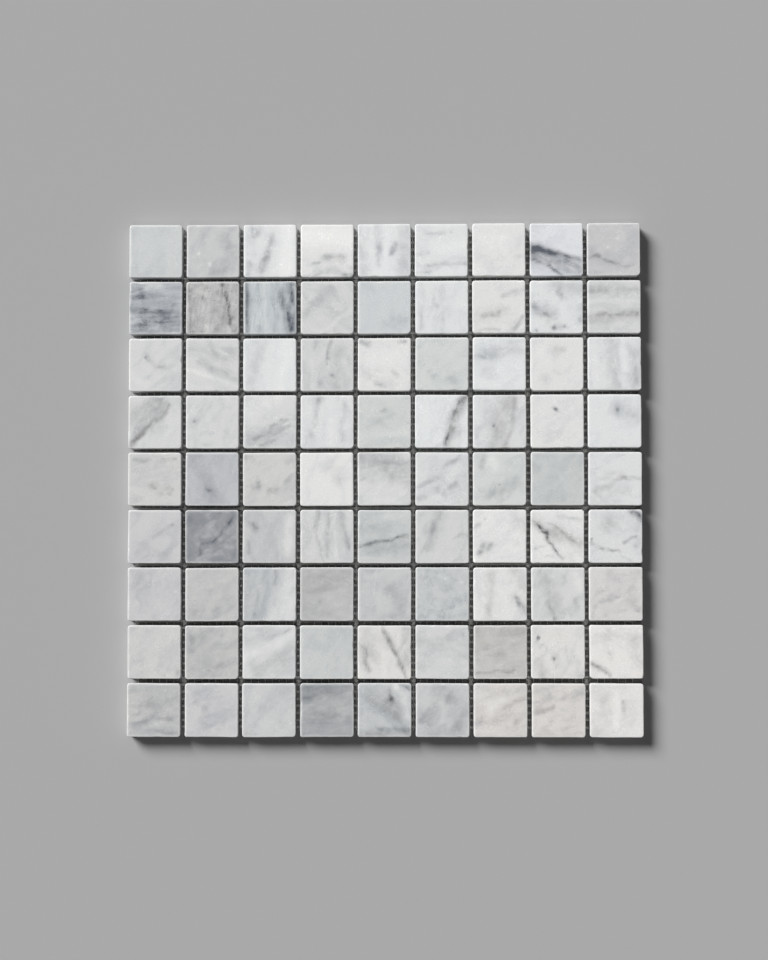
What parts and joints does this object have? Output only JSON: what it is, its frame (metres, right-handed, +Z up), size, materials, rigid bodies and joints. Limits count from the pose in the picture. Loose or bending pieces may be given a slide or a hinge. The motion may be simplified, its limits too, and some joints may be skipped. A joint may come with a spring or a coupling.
{
  "type": "mosaic tile sheet",
  "caption": "Flat sheet of square honed marble mosaic tiles in straight rows, held one joint apart by a glass-fibre net glued to their backs.",
  "frame": {"origin": "centre of the sheet's underside, on the lower face of the net's middle warp thread", "axes": "+X along a row of tiles to the right, +Y from the last row to the first row, +Z up out of the honed faces"},
  "size_m": [0.3052, 0.3052, 0.01],
  "materials": {
    "honed_marble": "satin",
    "glass_fibre_net": "matte"
  },
  "bodies": {
    "root": {"tile_row_1": "honed_marble", "tile_row_2": "honed_marble", "tile_row_3": "honed_marble", "tile_row_4": "honed_marble", "tile_row_5": "honed_marble", "tile_row_6": "honed_marble", "tile_row_7": "honed_marble", "tile_row_8": "honed_marble", "tile_row_9": "honed_marble", "net_warp_threads": "glass_fibre_net", "net_weft_threads": "glass_fibre_net"}
  },
  "joints": []
}
